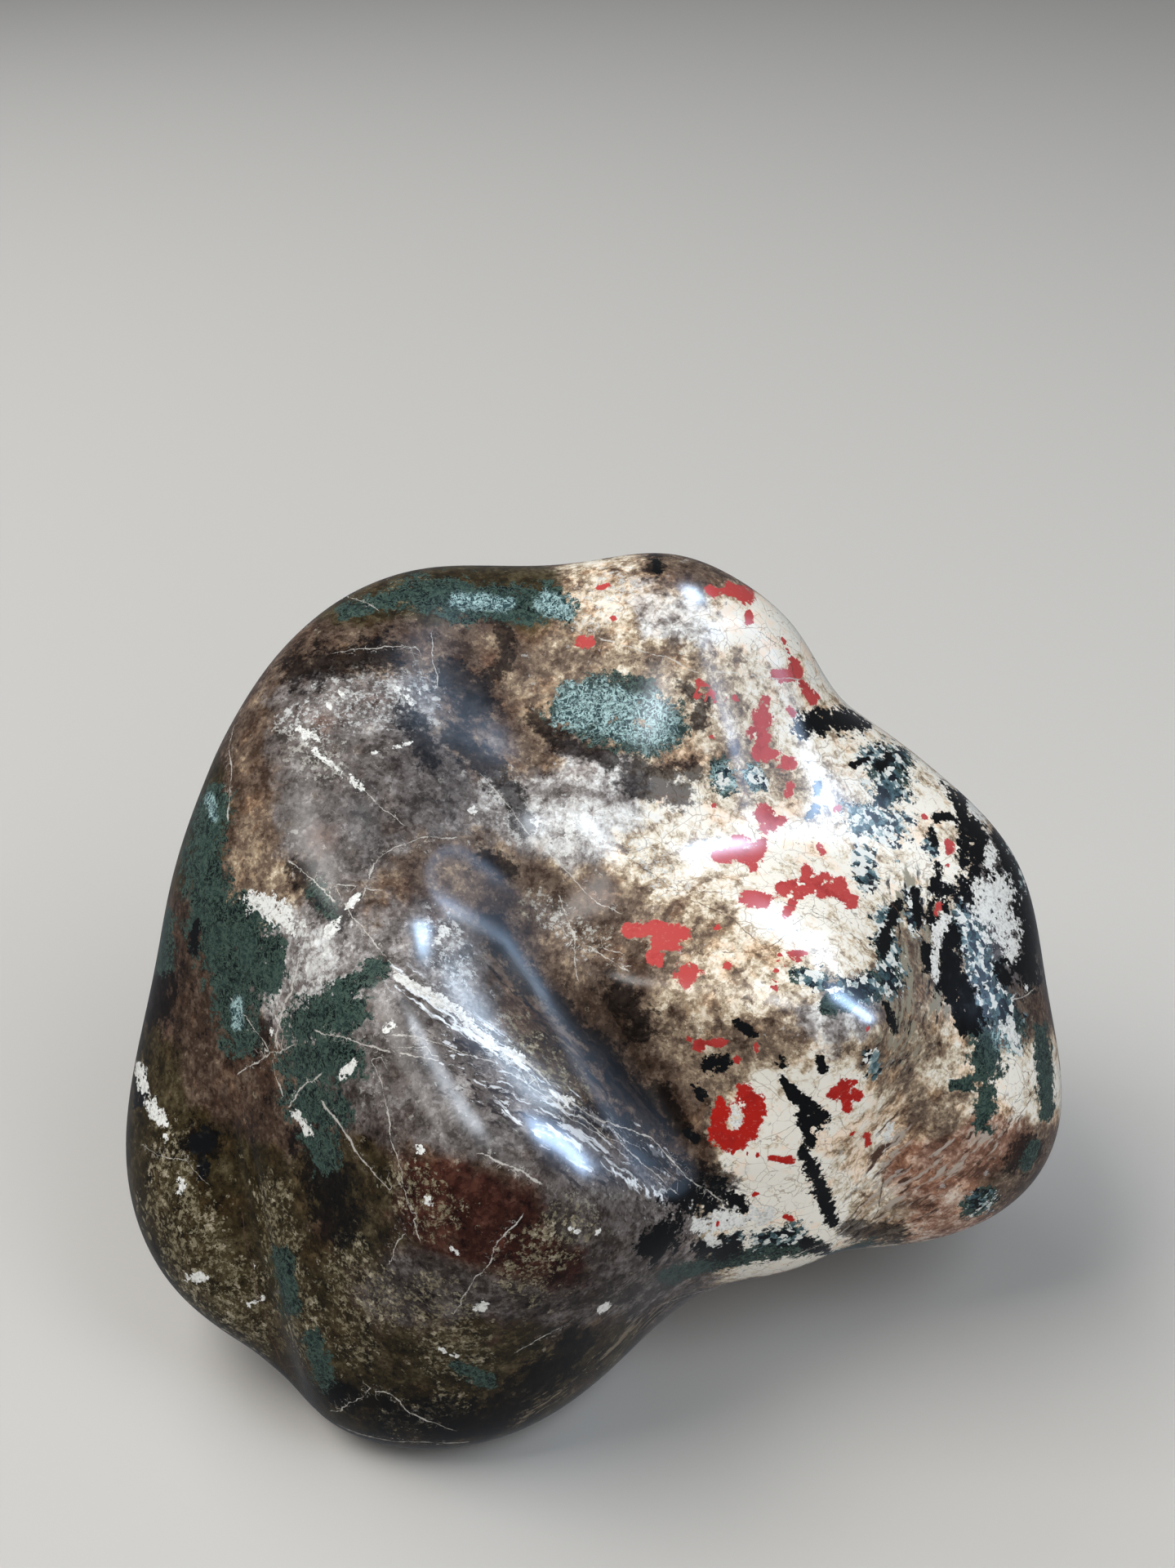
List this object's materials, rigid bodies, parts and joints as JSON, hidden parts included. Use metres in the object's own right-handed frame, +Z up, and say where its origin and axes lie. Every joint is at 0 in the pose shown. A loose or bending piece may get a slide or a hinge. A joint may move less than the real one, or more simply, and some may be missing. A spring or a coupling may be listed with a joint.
{
  "type": "polished jasper stone",
  "caption": "Free-form polished jasper: a lumpy, glossy natural stone with a diagonal groove, a raised crown and a small flat spot underneath that it rests on.",
  "frame": {"origin": "bottom centre of the bounding box, on the surface the stone rests on", "axes": "+Z up; +X to the right and -Y towards the viewer, as the stone is seen in the picture"},
  "size_m": [0.1618, 0.123, 0.1209],
  "materials": {
    "polished_jasper": "polished, glossy; dark brown, purple-grey and olive with a cream side, teal moss patches, black bands, scarlet spots and white veins"
  },
  "bodies": {
    "root": {"jasper_stone": "polished_jasper"}
  },
  "joints": []
}
